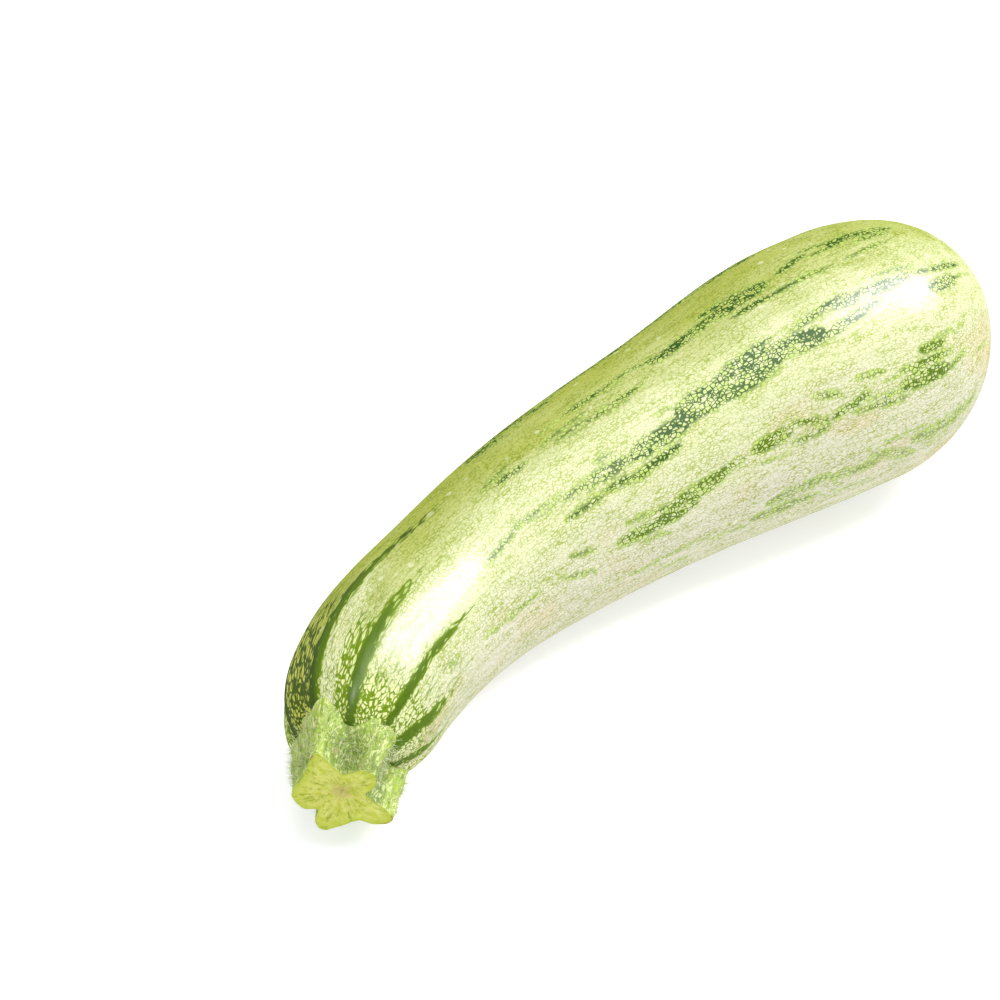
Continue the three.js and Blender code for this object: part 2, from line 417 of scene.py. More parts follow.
# Green fields with pale dashes between those lines: middle angle and half width in degrees,
# the station in millimetres where the green is half gone, and strength.
NECK_FIELDS = (
    (96, 8, 19, 0.95),
    (64, 17, 9, 1.0),
    (141, 15, 24, 1.0),
    (32, 11, 13, 0.6),
    (6, 12, 9, 0.55),
    (179, 16, 21, 0.95),
    (215, 16, 18, 0.9),
    (252, 16, 16, 0.8),
    (289, 16, 14, 0.7),
    (328, 17, 11, 0.6),
)
FIELD_FADE = (0.3, 1.7)
FIELD_EDGE = (0.75, 1.15)
NECK_TINGE = 0.3
NECK_TINGE_FADE = (12, 55)

# Streaks round the blossom scar, with lengths in millimetres.
STREAK_SEED = 3
BLOSSOM_STREAKS = 19
STREAK_JITTER = 0.5
STREAK_LENGTH = (6, 18)
STREAK_HALF = (0.25, 0.6)
STREAK_FADE_START = 0.4
STREAK_EDGE = (0.3, 1.9)
STREAK_STRENGTH = 0.5


def neck_strength(stations, angles, radii):
    """How strongly the solid green lines of the neck show at each point."""
    strength = np.zeros(len(stations))
    for start, end, last, half_start, half_end, most in NECK_LINES:
        along = np.clip(stations / MM / last, 0, 1)
        line = np.radians(start + (end - start) * along)
        half = (half_start + (half_end - half_start) * along) * MM
        across = np.abs(turned(angles, line)) * radii / half
        fade = 1 - smoothstep(stations / MM / last, *NECK_LINE_FADE)
        strength = np.maximum(strength, most * fade * (1 - smoothstep(across, *NECK_LINE_EDGE)))
    return strength


def field_strength(stations, angles):
    """How green the speckled fields of the neck are, over the thin green that all of it has."""
    strength = NECK_TINGE * (1 - smoothstep(stations / MM, *NECK_TINGE_FADE))
    for middle, half, last, most in NECK_FIELDS:
        across = np.abs(turned(angles, math.radians(middle))) / math.radians(half)
        fade = 1 - smoothstep(stations / MM / last, *FIELD_FADE)
        strength = np.maximum(strength, most * fade * (1 - smoothstep(across, *FIELD_EDGE)))
    return strength


def streak_strength(tip, angles, radii):
    """Short dark streaks that run out from the blossom scar. The tip is how far off its middle is."""
    chance = random.Random(STREAK_SEED)
    strength = np.zeros(len(tip))
    for streak in range(BLOSSOM_STREAKS):
        place = streak + chance.uniform(-STREAK_JITTER, STREAK_JITTER)
        line = math.tau * place / BLOSSOM_STREAKS
        length = chance.uniform(*STREAK_LENGTH) * MM
        half = chance.uniform(*STREAK_HALF) * MM
        across = np.abs(turned(angles, line)) * radii / half
        fade = 1 - smoothstep(tip, STREAK_FADE_START * length, length)
        edge = 1 - smoothstep(across, *STREAK_EDGE)
        strength = np.maximum(strength, STREAK_STRENGTH * fade * edge)
    return strength


def green_and_shade_share(stations, angles):
    """How much each point faces the green side, which is partly the fruit's own green and partly
    painted shade, less in the painted reflection down the neck.
    """
    share = (1 + np.cos(angles - GREEN_AND_SHADE_ANGLE)) / 2
    # Painted reflection: the pale strip down the neck.
    across = turned(angles, PAINTED_SHINE_ANGLE) / PAINTED_SHINE_SPREAD
    fade = 1 - smoothstep(stations, *PAINTED_SHINE_FADE)
    return share - PAINTED_SHINE_DEPTH * np.exp(-(across**2)) * fade


def make_skin(material):
    """The skin of the fruit. Gives back how far its place is from the axis's own."""
    mesh, angles, shares = round_mesh("fruit_skin", SKIN_SIDES, SKIN_RINGS)
    tip_shares = 1 - np.geomspace(*TIP_SHARES, TIP_MARKS)
    fine = np.concatenate(([0], np.linspace(0, 1, PROFILE_MARKS), tip_shares))
    fine = np.sort(np.clip(fine, 0, 1)) * FRUIT_LENGTH
    profile = body_radius(fine) * end_rounding(fine)
    corners = np.stack((np.concatenate(([0], fine)), np.concatenate(([0], profile))), axis=1)
    stations, radii = along_meridian(corners, shares)
    heights = body_radius(stations)
    straight = straightened(stations, radii, angles)
    dimple = SCAR_DEPTH * np.exp(-((radii / SCAR_RADIUS) ** 2)) * (stations > FRUIT_LENGTH / 2)
    depth = skin_relief(stations, angles, straight) * smoothstep(radii, 0, EVEN_POLE)
    places = around_axis(stations - dimple, heights, radii - depth, angles)
    places[:, 2] = np.maximum(places[:, 2], REST_DENT) - REST_DENT
    smooth = around_axis(stations, heights, radii, angles)
    low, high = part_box("fruit")
    middle = (smooth.min(axis=0) + smooth.max(axis=0)) / 2
    shift = np.array([(low[0] + high[0]) / 2 - middle[0], (low[1] + high[1]) / 2 - middle[1], 0])
    set_places(mesh, places + shift)
    give_vectors(mesh, "straight", straight)
    give_numbers(mesh, "stripe", stripe_strength(stations, angles, heights))
    tip = (1 - shares) * np.hypot(*np.diff(corners, axis=0).T).sum()
    lines = neck_strength(stations, angles, heights)
    give_numbers(mesh, "neck", np.maximum(lines, streak_strength(tip, angles, radii)))
    give_numbers(mesh, "field", field_strength(stations, angles))
    give_numbers(mesh, "green_and_shade", green_and_shade_share(stations, angles))
    show(mesh, "fruit", "skin", material)
    return shift


# --- Stem -------------------------------------------------------------------------------

# Outline of the stem: angle in degrees, then the radius in millimetres at the cut and where it
# spreads onto the fruit. It repeats the CAD part's. A program gave the first values for the
# cut, which were then thinned out and changed.
STEM_SECTION = (
    (0, 5.4, 10.4),
    (18, 7.6, 11.4),
    (38, 9.6, 12.4),
    (56, 8.7, 12.0),
    (84, 5.8, 10.8),
    (103, 8.2, 12.4),
    (114, 12.4, 13.7),
    (137, 10.1, 12.6),
    (166, 9.7, 12.0),
    (192, 11.3, 13.2),
    (214, 10.0, 12.0),
    (226, 7.9, 11.0),
    (238, 11.6, 12.4),
    (250, 12.4, 12.9),
    (268, 10.2, 11.8),
    (293, 9.0, 11.0),
    (309, 11.7, 13.3),
    (325, 13.4, 14.6),
    (336, 10.8, 13.4),
    (344, 7.2, 11.8),
)
STEM_STUMP = 10.8 * MM
STEM_FLARE_START = -9 * MM
STEM_FLARE_END = 4.5 * MM
STEM_ROOT = 9 * MM
STEM_AXIS_HEIGHT = 16.9 * MM - REST_DENT
STEM_SIDES = 320
STEM_RINGS = 210
STEM_REACH = 12 * MM
STEM_RIM = 0.6 * MM
STEM_RIM_SHARE = 0.055
STEM_RIM_TURNS = (0, 0.4, 0.8, 1.2, 1.57)
STEM_SIDE_SHARE = 0.9
CUT_EDGE_SHARE = 0.995
CUT_HOLLOW = 0.7 * MM
CUT_FIBRES = 0.35 * MM
FIBRES_ROUND = 6
FIBRES_OUT = 2.2
FIBRES_START = (0.05, 0.3)
STEM_RIBS = 0.5 * MM
STEM_RIB_SIZE = 1.4 * MM
STEM_RIB_STRETCH = 4
STEM_LUMPS = 0.85 * MM
STEM_LUMP_SIZE = 2.7 * MM


def stem_radius(angles, spread):
    """The stem's radius at each angle: a smooth closed curve through STEM_SECTION."""
    degrees, cut, base = np.array(STEM_SECTION, float).T
    count = len(degrees)
    turns = np.degrees(angles) % 360
    i = np.searchsorted(degrees, turns, side="right") - 1

    def radius_at(k):
        return cut[k % count] + (base[k % count] - cut[k % count]) * spread

    def degrees_to(k):
        return degrees[k % count] + 360 * (k // count)

    def slope_at(k):
        return (radius_at(k + 1) - radius_at(k - 1)) / (degrees_to(k + 1) - degrees_to(k - 1))

    span = degrees_to(i + 1) - degrees_to(i)
    part = (turns - degrees_to(i)) / span
    return smooth_curve(part, span, radius_at(i), radius_at(i + 1), slope_at(i), slope_at(i + 1)) * MM


def stem_outline():
    """Stations and shares of the full radius, from the cut's middle round its rim to the root."""
    turns = np.array(STEM_RIM_TURNS)
    rim_stations = -STEM_STUMP + STEM_RIM * (1 - np.cos(turns))
    rim_shares = 1 - STEM_RIM_SHARE * (1 - np.sin(turns))
    rim = zip(rim_stations, rim_shares)
    return np.array([(-STEM_STUMP, 0), *rim, (STEM_ROOT, 1), (STEM_ROOT, 0)])


def stem_surface(stations, angles, shares):
    """Points of the stem with its ribs, lumps and the fibres of its cut, all inside its outline."""
    spread = smoothstep(stations, STEM_FLARE_START, STEM_FLARE_END)
    radii = stem_radius(angles, spread)
    flat = np.stack((np.cos(angles), np.sin(angles)), axis=1) * (radii * shares)[:, None]
    along = np.concatenate((flat, stations[:, None] / STEM_RIB_STRETCH), axis=1)
    even = np.concatenate((flat, stations[:, None]), axis=1)
    ribs = STEM_RIBS * (0.5 + 0.5 * lumps(along, STEM_RIB_SIZE, 4))
    broad = STEM_LUMPS * (0.5 + 0.5 * lumps(even, STEM_LUMP_SIZE, 5))
    at_side = smoothstep(shares, STEM_SIDE_SHARE, 1.0)
    reach = radii * shares - at_side * (ribs + broad)
    across, up = FIBRES_ROUND * np.cos(angles), FIBRES_ROUND * np.sin(angles)
    rays = np.stack((across, up, FIBRES_OUT * shares), axis=1)
    fibres = CUT_FIBRES * (0.5 + 0.5 * lumps(rays, 1.0, 6)) * smoothstep(shares, *FIBRES_START)
    hollow = CUT_HOLLOW * (0.5 + 0.5 * np.cos(math.pi * np.clip(shares, 0, 1)))
    on_cut = 1 - smoothstep(stations, -STEM_STUMP, -STEM_STUMP + STEM_RIM)
    moved = stations + on_cut * (fibres + hollow)
    heights = np.full(len(stations), STEM_AXIS_HEIGHT)
    return around_axis(moved, heights, reach, angles), radii


def make_stem(shift, side_material, cut_material):
    mesh, angles, along = round_mesh("stem_stump", STEM_SIDES, STEM_RINGS)
    stations, reach = along_meridian(stem_outline() * (1, STEM_REACH), along)
    shares = reach / STEM_REACH
    places, radii = stem_surface(stations, angles, shares)
    set_places(mesh, places + shift)
    give_vectors(mesh, "straight", straightened(stations, radii * shares, angles))
    give_vectors(mesh, "rays", np.stack((np.cos(angles), np.sin(angles), shares), axis=1))
    give_numbers(mesh, "girth", radii / MM)
    on_cut = (stations < -STEM_STUMP + STEM_RIM / 2) & (shares < CUT_EDGE_SHARE)
    show(mesh, "stem", "stem", side_material, cut_material)
    for face in mesh.polygons:
        if all(on_cut[corner] for corner in face.vertices):
            face.material_index = 1


HAIRS = 1300
HAIR_LENGTH = (0.7 * MM, 1.9 * MM)
HAIR_WIDTH = 0.065 * MM
HAIR_TAPER = 5
HAIR_SIDES = 4
HAIR_LEAN = 0.6
HAIR_MIDDLE = 0.45
HAIR_MARGIN = 1.6 * MM
HAIR_END = 2 * MM
HAIR_SEED = 11
NEAR_ANGLE = 0.02
NEAR_STATION = 0.2 * MM


def make_hairs(shift, material):
    """Fine stiff hairs that lean every way, all over the stem's side."""
    chance = random.Random(HAIR_SEED)
    first = -STEM_STUMP + HAIR_MARGIN
    stations = np.array([chance.uniform(first, HAIR_END) for _ in range(HAIRS)])
    angles = np.array([chance.uniform(-math.pi, math.pi) for _ in range(HAIRS)])
    at_side = np.ones(HAIRS)
    feet, _ = stem_surface(stations, angles, at_side)
    beside, _ = stem_surface(stations, angles + NEAR_ANGLE, at_side)
    ahead, _ = stem_surface(stations + NEAR_STATION, angles, at_side)
    bm = bmesh.new()
    for foot, side, front in zip(feet + shift, beside + shift, ahead + shift):
        outwards = Vector(front - foot).cross(Vector(side - foot)).normalized()
        lean = Vector([chance.uniform(-HAIR_LEAN, HAIR_LEAN) for _ in range(3)])
        length = chance.uniform(*HAIR_LENGTH)
        direction = (outwards + lean).normalized()
        place = Matrix.Translation(Vector(foot) + direction * length * HAIR_MIDDLE)
        turn = direction.to_track_quat("Z", "Y").to_matrix().to_4x4()
        bmesh.ops.create_cone(
            bm,
            cap_ends=True,
            segments=HAIR_SIDES,
            radius1=HAIR_WIDTH,
            radius2=HAIR_WIDTH / HAIR_TAPER,
            depth=length,
            matrix=place @ turn,
        )
    mesh = bpy.data.meshes.new("stem_hairs")
    bm.to_mesh(mesh)
    bm.free()
    mesh.shade_smooth()
    show(mesh, None, "stem", material)


# --- Blossom scar -----------------------------------------------------------------------

# Waves and nicks of the patch's outline: how fine they are and how deep, as a share of its size.
# Crumbs and grains of its surface: their size and their height.
SCAR_PATCH = 4.4 * MM
SCAR_BULGE = 0.8
SCAR_WAVES = (2.2, 0.13)
SCAR_NICKS = (7, 0.05)
SCAR_RIM = 0.75 * MM
SCAR_RIM_SHARE = 0.86
SCAR_RIM_WIDTH = 0.12
SCAR_CRUMBS = (0.7 * MM, 0.18 * MM)
SCAR_GRAINS = (0.3 * MM, 0.12 * MM)
SCAR_MIDDLE = 0.25 * MM
SCAR_MIDDLE_WIDTH = 0.3
SCAR_BACK = 0.9 * MM
SCAR_SIDES = 120
SCAR_RINGS = 80


def make_scar(shift, material):
    """The corky patch with a ragged rim where the blossom dropped off."""
    mesh, angles, along = round_mesh("blossom_scar", SCAR_SIDES, SCAR_RINGS)
    shares = np.sin(math.pi * along) ** SCAR_BULGE
    front = along > 0.5
    compass = np.stack((np.cos(angles), np.sin(angles), 0 * angles), axis=1)
    waves = SCAR_WAVES[1] * lumps(compass * SCAR_WAVES[0], 1.0, 8)
    nicks = SCAR_NICKS[1] * lumps(compass * SCAR_NICKS[0], 1.0, 9)
    radii = SCAR_PATCH * (1 + waves + nicks) * shares
    spot = compass * radii[:, None]
    rim = np.exp(-(((shares - SCAR_RIM_SHARE) / SCAR_RIM_WIDTH) ** 2))
    uneven = 0.6 + 0.4 * lumps(compass * 5, 1.0, 12)
    crumbs = SCAR_CRUMBS[1] * lumps(spot, SCAR_CRUMBS[0], 10)
    grains = SCAR_GRAINS[1] * lumps(spot, SCAR_GRAINS[0], 13)
    middle = SCAR_MIDDLE * np.exp(-((shares / SCAR_MIDDLE_WIDTH) ** 2))
    swell = SCAR_RIM * rim * uneven + middle + crumbs + grains
    dimple = SCAR_DEPTH * np.exp(-((radii / SCAR_RADIUS) ** 2))
    skin_there = FRUIT_LENGTH - dimple - blossom_fall(radii)
    stations = skin_there + np.where(front, swell * smoothstep(1 - shares, 0, 0.1), -SCAR_BACK)
    heights = np.full(len(stations), body_radius(np.array([FRUIT_LENGTH]))[0])
    set_places(mesh, around_axis(stations, heights, radii, angles) - (0, 0, REST_DENT) + shift)
    give_vectors(mesh, "spot", spot / MM)
    give_numbers(mesh, "rim", shares)
    show(mesh, None, "skin", material)


def blossom_fall(radii):
    """How far the rounded blossom end has fallen back at each distance from its tip."""
    share = np.clip(radii / body_radius(np.array([FRUIT_LENGTH]))[0], 0, 1)
    left = (1 - share**BLOSSOM_ROUNDNESS) ** (1 / BLOSSOM_ROUNDNESS)
    return BLOSSOM_LENGTH * (1 - left)


# --- Materials --------------------------------------------------------------------------


class Nodes:
    """Adds nodes to a tree. An input is a plain value or another node's output."""

    def __init__(self, tree):
        self.tree = tree

    def add(self, kind, inputs=(), output=0, **settings):
        """A new node with its inputs and settings. Gives back one of its outputs."""
        node = self.tree.nodes.new(kind)
        for name, value in settings.items():
            setattr(node, name, value)
        for name, value in dict(inputs).items():
            if isinstance(value, bpy.types.NodeSocket):
                self.tree.links.new(value, node.inputs[name])
            else:
                node.inputs[name].default_value = value
        return node.outputs[output]

    def attribute(self, name, output="Fac"):
        return self.add("ShaderNodeAttribute", output=output, attribute_name=name)

    def math(self, operation, first, second=0.0, clamp=False):
        return self.add("ShaderNodeMath", {0: first, 1: second}, operation=operation, use_clamp=clamp)

    def ramp(self, value, low, high, to_low=0.0, to_high=1.0):
        """A smooth rise or fall between two values."""
        inputs = {"Value": value, "From Min": low, "From Max": high}
        inputs.update({"To Min": to_low, "To Max": to_high})
        return self.add("ShaderNodeMapRange", inputs, interpolation_type="SMOOTHSTEP")

    def blend(self, share, under, over, mode="MIX"):
        """One colour over another. Inputs 0, 6 and 7 are the factor and the two colours."""
        inputs = {0: share, 6: under, 7: over}
        settings = {"data_type": "RGBA", "blend_type": mode, "clamp_factor": True}
        return self.add("ShaderNodeMix", inputs, output=2, **settings)

    def offset(self, value, amount):
        """A value from 0 to 1 made to swing round zero, this far from end to end."""
        return self.math("MULTIPLY", self.math("SUBTRACT", value, 0.5), amount)

    def stretched(self, vector, across, along):
        """Coordinates in which a pattern of size 1 has this size across and along the fruit."""
        size = (across, across, along)
        return self.add("ShaderNodeVectorMath", {0: vector, 1: size}, operation="DIVIDE")

    def noise(self, vector, size=1.0, detail=2.0, roughness=0.5):
        inputs = {"Vector": vector, "Scale": 1 / size, "Detail": detail, "Roughness": roughness}
        return self.add("ShaderNodeTexNoise", inputs)


def group_with(name, inputs, outputs):
    """A new node group: its nodes, the values it is given and the places for what it puts out."""
    tree = bpy.data.node_groups.new(name, "ShaderNodeTree")
    for socket, kind in inputs.items():
        tree.interface.new_socket(name=socket, in_out="INPUT", socket_type=kind)
    for socket, kind in outputs.items():
        tree.interface.new_socket(name=socket, in_out="OUTPUT", socket_type=kind)
    entry = tree.nodes.new("NodeGroupInput")
    leave = tree.nodes.new("NodeGroupOutput")
    return Nodes(tree), entry.outputs, leave.inputs


CELL_WANDER_SCALE = 0.7
CELL_WANDER = 0.9


def make_cell_net():
    """A net of grown cells: how far a point is from its cell's edge, and a number for each cell."""
    number, vector = "NodeSocketFloat", "NodeSocketVector"
    nodes, given, out = group_with(
        "cell_net",
        {"Vector": vector, "Across": number, "Along": number},
        {"Edge": number, "Cell": number},
    )
    size = {"X": given["Across"], "Y": given["Across"], "Z": given["Along"]}
    size = nodes.add("ShaderNodeCombineXYZ", size)
    cells = nodes.add("ShaderNodeVectorMath", {0: given["Vector"], 1: size}, operation="DIVIDE")
    wander = {"Vector": cells, "Scale": CELL_WANDER_SCALE, "Detail": 1.0}
    wander = nodes.add("ShaderNodeTexNoise", wander, output="Color")
    centred = nodes.add("ShaderNodeVectorMath", {0: wander, 1: (0.5, 0.5, 0.5)}, operation="SUBTRACT")
    shift = nodes.add("ShaderNodeVectorMath", {0: centred, "Scale": CELL_WANDER}, operation="SCALE")
    cells = nodes.add("ShaderNodeVectorMath", {0: cells, 1: shift}, operation="ADD")
    placed = {"Vector": cells, "Scale": 1.0}
    edge = nodes.add("ShaderNodeTexVoronoi", placed, feature="DISTANCE_TO_EDGE")
    nodes.tree.links.new(edge, out["Edge"])
    point = nodes.add("ShaderNodeTexVoronoi", placed, output="Color")
    nodes.tree.links.new(nodes.add("ShaderNodeSeparateColor", {"Color": point}), out["Cell"])
    return nodes.tree


def new_material(name):
    """A new material with one Principled shader: the material, its nodes and the shader."""
    material = bpy.data.materials.new(name)
    material.use_nodes = True
    material.node_tree.nodes.clear()
    shader = material.node_tree.nodes.new("ShaderNodeBsdfPrincipled")
    output = material.node_tree.nodes.new("ShaderNodeOutputMaterial")
    material.node_tree.links.new(shader.outputs[0], output.inputs["Surface"])
    return material, Nodes(material.node_tree), shader


def shade(nodes, shader, **sockets):
    """Sets the shader's sockets by name, to plain values or to other nodes' outputs."""
    for name, value in sockets.items():
        socket = shader.inputs[name.replace("_", " ")]
        if isinstance(value, bpy.types.NodeSocket):
            nodes.tree.links.new(value, socket)
        else:
            socket.default_value = value


def placed_net(nodes, net, vector, across, along):
    """The net with cells of this size, in millimetres across and along the fruit."""
    made = nodes.tree.nodes.new("ShaderNodeGroup")
    made.node_tree = net
    nodes.tree.links.new(vector, made.inputs["Vector"])
    made.inputs["Across"].default_value = across
    made.inputs["Along"].default_value = along
    return made.outputs["Edge"], made.outputs["Cell"]


def rgb(red, green, blue):
    """A colour given as it looks on a screen, from 0 to 255, turned to linear light."""
    values = np.array([red, green, blue]) / 255
    linear = np.where(values <= 0.04045, values / 12.92, ((values + 0.055) / 1.055) ** 2.4)
    return (*linear, 1.0)


# Sizes of the skin's patterns, in millimetres across and along the fruit.
CLOUD_SIZE = (7, 28)
BLUSH_SIZE = (9, 22)
WEAVE_CELL = (0.5, 1.35)
WEAVE_PATCH = (2.5, 9)
THREAD_SIZE = (0.5, 7)
DOT_SPACING = (3.6, 4.4)
STRIPE_CELL = (0.75, 1.1)
STRIPE_TEARS = (1.1, 2.6)
STRIPE_HOLES = (2.6, 4.2)
STRIPE_INK_PATCH = (2.0, 5)
NECK_CELL = (0.74, 4.2)
NECK_FRAYING = (0.65, 12)

# How far the noise moves each edge.
CLOUDINESS = 0.45
STRIPE_RAGGEDNESS = 1.2
NECK_RAGGEDNESS = 1.5
CELL_RAGGEDNESS = 0.25

WAX_FACING = (0.35, 0.8)
WAX_WEIGHT = (0.4, 0.06)
WAX_ROUGHNESS = 0.31
SKIN_BUMP = {"Strength": 0.35, "Distance": 0.2 * MM}

GROUND_CREAM = rgb(208, 205, 188)
GROUND_CLEAR = rgb(213, 216, 174)
# The green side's ground: partly the fruit's own green, partly painted shade.
GROUND_GREEN_AND_SHADE = rgb(168, 176, 80)
GROUND_BLUSH = rgb(210, 192, 152)
WEAVE_TINT = rgb(184, 200, 104)
PALE_DOT = rgb(226, 228, 196)
STRIPE_DARK = rgb(26, 72, 0)
STRIPE_WARM = rgb(78, 108, 0)
STRIPE_PALE = rgb(178, 200, 98)
NECK_GREEN = rgb(78, 106, 0)
# Olive of the neck's lines on the green side: partly their own colour, partly painted shade.
NECK_OLIVE_IN_SHADE = rgb(52, 70, 0)
NECK_HAZE = rgb(148, 178, 40)
FIELD_GREEN = rgb(110, 138, 0)
FIELD_PALE = rgb(224, 230, 162)
# Olive cells on the green side: partly their own colour, partly painted shade.
FIELD_OLIVE_IN_SHADE = rgb(188, 194, 84)


def make_skin_material(net):
    material, nodes, shader = new_material("zucchini_skin")
    straight = nodes.attribute("straight", "Vector")
    stripe = nodes.attribute("stripe")
    neck = nodes.attribute("neck")
    field = nodes.attribute("field")
    green_and_shade = nodes.attribute("green_and_shade")

    # Ground colour: green on one side, partly the fruit's own green and partly painted shade, cream
    # on the other, in long soft clouds.
    clouds = nodes.noise(nodes.stretched(straight, *CLOUD_SIZE), detail=3)
    side = nodes.math("ADD", green_and_shade, nodes.offset(clouds, CLOUDINESS))
    ground = nodes.blend(nodes.ramp(side, 0.1, 0.55), GROUND_CREAM, GROUND_CLEAR)
    ground = nodes.blend(nodes.ramp(side, 0.62, 1.02), ground, GROUND_GREEN_AND_SHADE)
    blush = nodes.ramp(nodes.noise(nodes.stretched(straight, *BLUSH_SIZE), detail=2), 0.52, 0.72)
    blushing = nodes.math("MULTIPLY", blush, nodes.ramp(green_and_shade, 0.6, 0.3, 0.0, 0.5))
    ground = nodes.blend(blushing, ground, GROUND_BLUSH)

    # Fine weave all over: thin green lines round small long cells, and threads along the fruit.
    weave_edge, _ = placed_net(nodes, net, straight, *WEAVE_CELL)
    patchy = nodes.noise(nodes.stretched(straight, *WEAVE_PATCH), detail=3)
    thin = nodes.ramp(patchy, 0.3, 0.7, 0.0, 0.06)
    weave = nodes.ramp(nodes.math("SUBTRACT", weave_edge, thin), 0.0, 0.1, 0.8, 0.0)
    threads = nodes.noise(nodes.stretched(straight, *THREAD_SIZE), detail=2, roughness=0.6)
    weave = nodes.math("MULTIPLY", weave, nodes.ramp(patchy, 0.3, 0.7, 0.75, 1.0))
    weave = nodes.math("ADD", weave, nodes.ramp(threads, 0.45, 0.65, 0.0, 0.3), clamp=True)
    skin = nodes.blend(weave, ground, WEAVE_TINT, "MULTIPLY")

    # Pale dots of different sizes.
    dot_places = {"Vector": nodes.stretched(straight, *DOT_SPACING), "Scale": 1.0}
    dot_reach = nodes.add("ShaderNodeTexVoronoi", dot_places)
    dot_number = nodes.add("ShaderNodeTexVoronoi", dot_places, output="Color")
    dot_size = nodes.add("ShaderNodeSeparateColor", {"Color": dot_number})
    dot_edge = nodes.math("SUBTRACT", dot_reach, nodes.math("MULTIPLY", dot_size, 0.2))
    spots = nodes.ramp(dot_edge, -0.06, 0.06, 1.0, 0.0)
    skin = nodes.blend(nodes.math("MULTIPLY", spots, 0.4), skin, PALE_DOT)

    # Broken dark stripes: the lines of a net, over paler cells.
    edge, cell = placed_net(nodes, net, straight, *STRIPE_CELL)
    ragged = nodes.noise(nodes.stretched(straight, *STRIPE_TEARS), detail=3, roughness=0.65)
    torn = nodes.offset(ragged, STRIPE_RAGGEDNESS)
    torn = nodes.math("ADD", torn, nodes.offset(cell, CELL_RAGGEDNESS))
    inside = nodes.math("ADD", stripe, torn)
    dark = nodes.math("MULTIPLY", nodes.ramp(inside, 0.32, 0.44), nodes.ramp(stripe, 0.05, 0.25))
    hole_places = {"Vector": nodes.stretched(straight, *STRIPE_HOLES), "Scale": 1.0}
    holes = nodes.add("ShaderNodeTexVoronoi", hole_places)
    dark = nodes.math("MULTIPLY", dark, nodes.ramp(holes, 0.13, 0.2))
    inked = nodes.noise(nodes.stretched(straight, *STRIPE_INK_PATCH))
    thick = nodes.ramp(inked, 0.3, 0.7, 0.05, 0.19)
    lines = nodes.ramp(nodes.math("SUBTRACT", edge, thick), -0.04, 0.07, 1.0, 0.0)
    fill = nodes.math("MULTIPLY", dark, nodes.ramp(cell, 0.1, 0.9, 0.2, 0.75))
    skin = nodes.blend(fill, skin, STRIPE_PALE)
    # The stripes are darker on the green side: partly their own colour, partly painted shade.
    ink = nodes.blend(nodes.ramp(side, 0.62, 0.36), STRIPE_DARK, STRIPE_WARM)
    drawn = nodes.math("MULTIPLY", lines, dark)
    drawn = nodes.math("MULTIPLY", drawn, nodes.ramp(stripe, 0.5, 0.92, 0.4, 0.97))
    skin = nodes.blend(drawn, skin, ink)

    # Green of the neck: pale long cells between green edges, which close into solid lines.
    long_edge, long_cell = placed_net(nodes, net, straight, *NECK_CELL)
    fraying = nodes.noise(nodes.stretched(straight, *NECK_FRAYING), detail=3, roughness=0.6)
    in_field = nodes.math("MULTIPLY", field, 0.46)
    full = nodes.math("MAXIMUM", in_field, nodes.math("MULTIPLY", neck, 1.1))
    present = nodes.ramp(full, 0.02, 0.2)
    full = nodes.math("ADD", full, nodes.offset(fraying, NECK_RAGGEDNESS))
    full = nodes.math("ADD", full, nodes.offset(long_cell, CELL_RAGGEDNESS))
    width = nodes.math("MULTIPLY", full, 0.46)
    green = nodes.ramp(nodes.math("SUBTRACT", long_edge, width), -0.08, 0.05, 1.0, 0.0)
    # Cells turn olive on the green side: partly their own colour, partly painted shade.
    cells = nodes.blend(nodes.ramp(green_and_shade, 0.94, 0.99), FIELD_PALE, FIELD_OLIVE_IN_SHADE)
    skin = nodes.blend(nodes.ramp(field, 0.2, 0.9, 0.0, 0.8), skin, cells)
    skin = nodes.blend(nodes.ramp(neck, 0.0, 0.7, 0.0, 0.6), skin, NECK_HAZE)
    leaf = nodes.blend(nodes.ramp(neck, 0.1, 0.8), FIELD_GREEN, NECK_GREEN)
    # The lines turn olive on the green side: partly their own colour, partly painted shade.
    leaf = nodes.blend(nodes.ramp(green_and_shade, 0.84, 0.97, 0.0, 0.85), leaf, NECK_OLIVE_IN_SHADE)
    leaf = nodes.blend(nodes.ramp(fraying, 0.5, 0.7, 0.0, 0.35), leaf, STRIPE_DARK)
    skin = nodes.blend(nodes.math("MULTIPLY", green, present), skin, leaf)

    # Relief: raised dots and cells, sunk lines. Then the wax, which thins out towards the edges.
    relief = nodes.math("SUBTRACT", spots, weave)
    relief = nodes.math("ADD", relief, nodes.ramp(weave_edge, 0.0, 0.4))
    relief = nodes.math("MULTIPLY", relief, 0.5)
    bump = nodes.add("ShaderNodeBump", {**SKIN_BUMP, "Height": relief})
    facing = nodes.add("ShaderNodeLayerWeight", {"Blend": 0.5}, output="Facing")
    wax = nodes.ramp(facing, *WAX_FACING, *WAX_WEIGHT)
    shade(nodes, shader, Base_Color=skin, Roughness=0.5, Normal=bump, Coat_Weight=wax)
    shade(nodes, shader, Specular_IOR_Level=0.0, Coat_Roughness=WAX_ROUGHNESS)
    return material


# Sizes of the stem's patterns, in millimetres across and along it.
STEM_TONE_SIZE = (0.8, 7)
STEM_STREAK_SIZE = (1.3, 14)
STEM_CELL = (0.66, 1.3)
STEM_PATCH = (1.6, 3)
STEM_DASH = (0.62, 2.2)
BRUISE_SIZE = (2.2, 4)
STEM_BUMP = {"Strength": 0.8, "Distance": 0.3 * MM}
# Painted shade: where the stem's girth is small, in the valleys between its ridges, its side is
# darker and its pale net fainter.
SHADED_VALLEY_GIRTH = (8.0, 11.5)

